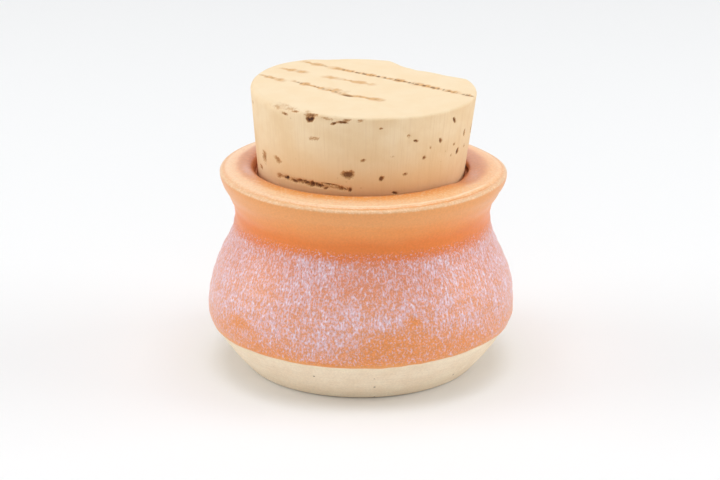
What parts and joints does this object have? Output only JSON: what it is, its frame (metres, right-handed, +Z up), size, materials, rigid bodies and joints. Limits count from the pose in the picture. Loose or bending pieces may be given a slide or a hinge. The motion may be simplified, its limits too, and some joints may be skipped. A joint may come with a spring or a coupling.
{
  "type": "corked ceramic jar",
  "caption": "Small squat hand-thrown jar with a flared rounded lip, streaked glaze over a bare clay foot, shut by a tapered natural cork that leans a little.",
  "frame": {"origin": "centre of the flat base, on the surface that the jar stands on", "axes": "+Z up along the jar's axis; -Y is the front; the cork's top leans towards +X and its missing bark strip faces +X and +Y"},
  "size_m": [0.076, 0.076, 0.0711],
  "materials": {
    "glazed_stoneware": "gloss",
    "natural_cork": "matte"
  },
  "bodies": {
    "root": {"jar": "glazed_stoneware", "cork": "natural_cork"}
  },
  "joints": []
}
